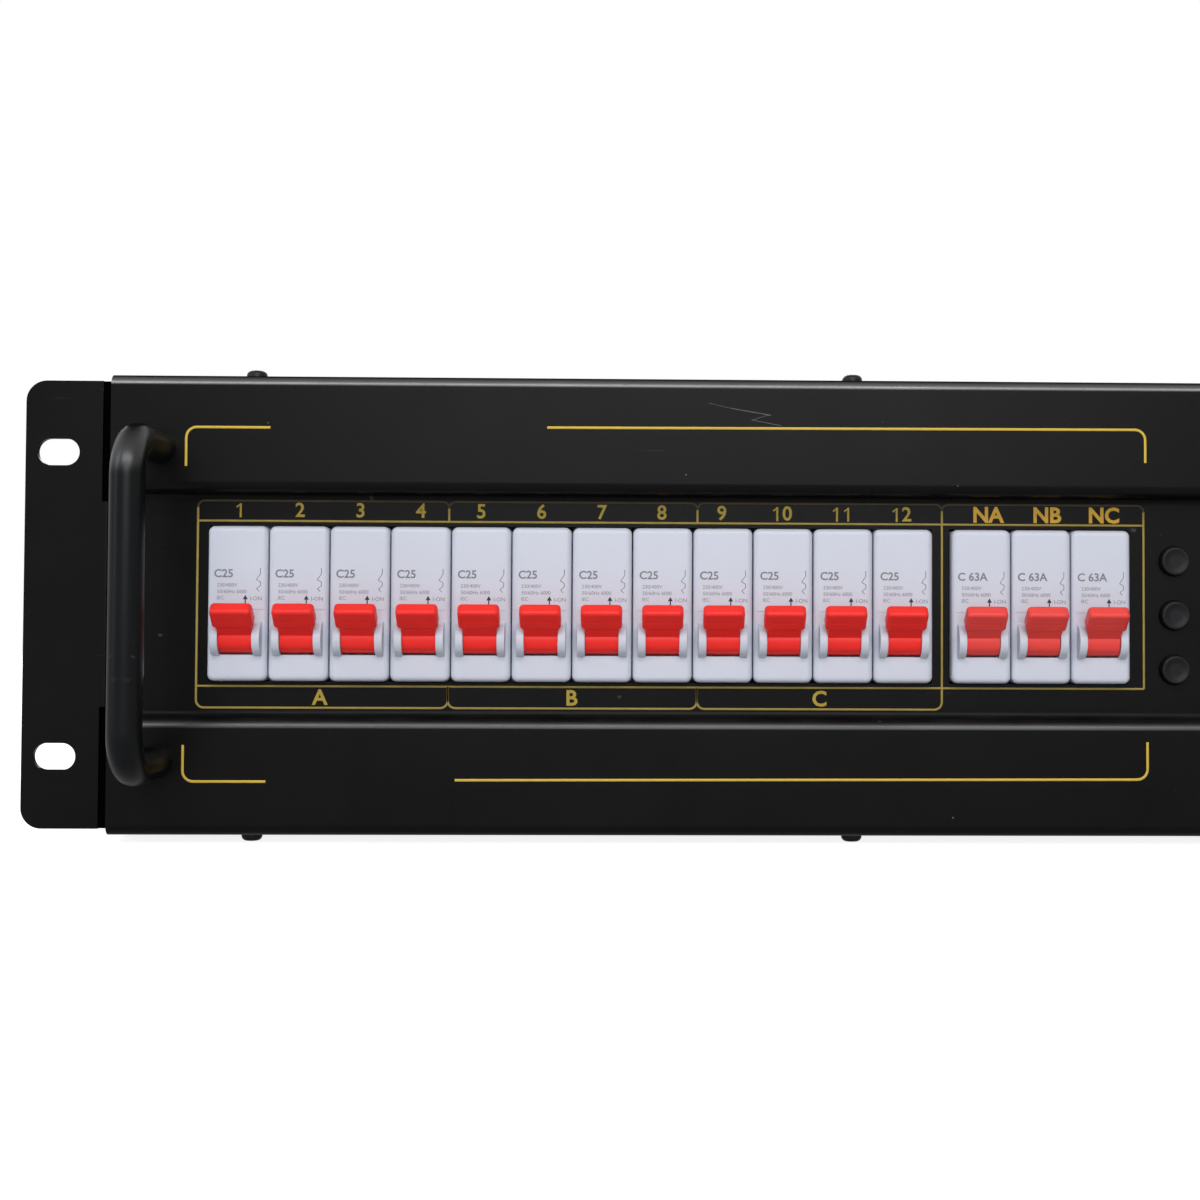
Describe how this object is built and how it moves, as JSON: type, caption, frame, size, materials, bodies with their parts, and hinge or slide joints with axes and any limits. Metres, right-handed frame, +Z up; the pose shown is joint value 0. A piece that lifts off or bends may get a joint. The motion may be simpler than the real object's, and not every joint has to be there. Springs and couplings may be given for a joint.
{
  "type": "circuit breaker panel",
  "caption": "Black folded rack front with rows of white breakers and red levers, two round-bar handles, slotted ears and the vented case behind.",
  "frame": {"origin": "centre of the bounding box in plan, on the surface that the front screw heads and rear feet stand on", "axes": "+X along the panel's width to the right as seen from the front, +Y from the front to the rear, +Z up"},
  "size_m": [0.4842, 0.4324, 0.1368],
  "materials": {
    "black_enamel": "satin black enamel",
    "black_bar": "satin black lacquer on a round bar",
    "housing_white": "cool white moulded housing",
    "lever_red": "red moulded lever",
    "lever_coral": "lighter coral red moulded lever",
    "zinc": "zinc-plated steel",
    "copper": "bare copper bar",
    "button_black": "black moulded cap",
    "display_dark": "dark red filter",
    "board_green": "green solder mask",
    "aluminium": "plain extruded aluminium",
    "module_black": "black moulded plastic",
    "choke_ochre": "varnished winding",
    "fan_black": "black moulded plastic",
    "terminal_grey": "grey moulded plastic",
    "gland_grey": "grey moulded plastic"
  },
  "bodies": {
    "dimmer": {"front_panel": "black_enamel", "chassis_tray": "black_enamel", "top_cover": "black_enamel", "rear_panel": "black_enamel", "rack_ear_left": "black_enamel", "rack_ear_right": "black_enamel", "handle_left": "black_bar", "handle_right": "black_bar", "breaker_01": "housing_white", "breaker_02": "housing_white", "breaker_03": "housing_white", "breaker_04": "housing_white", "breaker_05": "housing_white", "breaker_06": "housing_white", "breaker_07": "housing_white", "breaker_08": "housing_white", "breaker_09": "housing_white", "breaker_10": "housing_white", "breaker_11": "housing_white", "breaker_12": "housing_white", "breaker_na": "housing_white", "breaker_nb": "housing_white", "breaker_nc": "housing_white", "din_rail": "zinc", "busbar_a": "copper", "busbar_b": "copper", "busbar_c": "copper", "display_module": "display_dark", "control_board": "board_green", "heatsink": "aluminium", "power_module_a": "module_black", "choke_bank_a": "choke_ochre", "power_module_b": "module_black", "choke_bank_b": "choke_ochre", "power_module_c": "module_black", "choke_bank_c": "choke_ochre", "fan_frame": "fan_black", "output_terminals": "terminal_grey", "mains_terminals": "terminal_grey", "cable_gland": "gland_grey", "signal_sockets": "module_black"},
    "lever_01": {"lever_01": "lever_red"},
    "lever_02": {"lever_02": "lever_red"},
    "lever_03": {"lever_03": "lever_red"},
    "lever_04": {"lever_04": "lever_red"},
    "lever_05": {"lever_05": "lever_red"},
    "lever_06": {"lever_06": "lever_red"},
    "lever_07": {"lever_07": "lever_red"},
    "lever_08": {"lever_08": "lever_red"},
    "lever_09": {"lever_09": "lever_red"},
    "lever_10": {"lever_10": "lever_red"},
    "lever_11": {"lever_11": "lever_red"},
    "lever_12": {"lever_12": "lever_red"},
    "lever_na": {"lever_na": "lever_coral"},
    "lever_nb": {"lever_nb": "lever_coral"},
    "lever_nc": {"lever_nc": "lever_coral"},
    "button_1": {"button_1": "button_black"},
    "button_2": {"button_2": "button_black"},
    "button_3": {"button_3": "button_black"},
    "fan_rotor": {"fan_rotor": "fan_black"}
  },
  "joints": [
    {"name": "switch_01", "type": "hinge", "parent": "dimmer", "child": "lever_01", "pos_m": [-0.17885, -0.17133, 0.0586], "axis": [1, 0, 0], "range_deg": [0, 80]},
    {"name": "switch_02", "type": "hinge", "parent": "dimmer", "child": "lever_02", "pos_m": [-0.16125, -0.17133, 0.0586], "axis": [1, 0, 0], "range_deg": [0, 80]},
    {"name": "switch_03", "type": "hinge", "parent": "dimmer", "child": "lever_03", "pos_m": [-0.14365, -0.17133, 0.0586], "axis": [1, 0, 0], "range_deg": [0, 80]},
    {"name": "switch_04", "type": "hinge", "parent": "dimmer", "child": "lever_04", "pos_m": [-0.12605, -0.17133, 0.0586], "axis": [1, 0, 0], "range_deg": [0, 80]},
    {"name": "switch_05", "type": "hinge", "parent": "dimmer", "child": "lever_05", "pos_m": [-0.10845, -0.17133, 0.0586], "axis": [1, 0, 0], "range_deg": [0, 80]},
    {"name": "switch_06", "type": "hinge", "parent": "dimmer", "child": "lever_06", "pos_m": [-0.09085, -0.17133, 0.0586], "axis": [1, 0, 0], "range_deg": [0, 80]},
    {"name": "switch_07", "type": "hinge", "parent": "dimmer", "child": "lever_07", "pos_m": [-0.07325, -0.17133, 0.0586], "axis": [1, 0, 0], "range_deg": [0, 80]},
    {"name": "switch_08", "type": "hinge", "parent": "dimmer", "child": "lever_08", "pos_m": [-0.05565, -0.17133, 0.0586], "axis": [1, 0, 0], "range_deg": [0, 80]},
    {"name": "switch_09", "type": "hinge", "parent": "dimmer", "child": "lever_09", "pos_m": [-0.03805, -0.17133, 0.0586], "axis": [1, 0, 0], "range_deg": [0, 80]},
    {"name": "switch_10", "type": "hinge", "parent": "dimmer", "child": "lever_10", "pos_m": [-0.02045, -0.17133, 0.0586], "axis": [1, 0, 0], "range_deg": [0, 80]},
    {"name": "switch_11", "type": "hinge", "parent": "dimmer", "child": "lever_11", "pos_m": [-0.00285, -0.17133, 0.0586], "axis": [1, 0, 0], "range_deg": [0, 80]},
    {"name": "switch_12", "type": "hinge", "parent": "dimmer", "child": "lever_12", "pos_m": [0.01475, -0.17133, 0.0586], "axis": [1, 0, 0], "range_deg": [0, 80]},
    {"name": "switch_na", "type": "hinge", "parent": "dimmer", "child": "lever_na", "pos_m": [0.03775, -0.17133, 0.0586], "axis": [1, 0, 0], "range_deg": [0, 80]},
    {"name": "switch_nb", "type": "hinge", "parent": "dimmer", "child": "lever_nb", "pos_m": [0.05535, -0.17133, 0.0586], "axis": [1, 0, 0], "range_deg": [0, 80]},
    {"name": "switch_nc", "type": "hinge", "parent": "dimmer", "child": "lever_nc", "pos_m": [0.07295, -0.17133, 0.0586], "axis": [1, 0, 0], "range_deg": [0, 80]},
    {"name": "press_1", "type": "slide", "parent": "dimmer", "child": "button_1", "axis": [0, 1, 0], "range_m": [0, 0.0012], "stiffness_N_per_m": 400, "springref_m": -0.002},
    {"name": "press_2", "type": "slide", "parent": "dimmer", "child": "button_2", "axis": [0, 1, 0], "range_m": [0, 0.0012], "stiffness_N_per_m": 400, "springref_m": -0.002},
    {"name": "press_3", "type": "slide", "parent": "dimmer", "child": "button_3", "axis": [0, 1, 0], "range_m": [0, 0.0012], "stiffness_N_per_m": 400, "springref_m": -0.002},
    {"name": "fan_spin", "type": "hinge", "parent": "dimmer", "child": "fan_rotor", "pos_m": [0.0207, 0.18018, 0.0684], "axis": [0, 1, 0], "continuous": true}
  ]
}
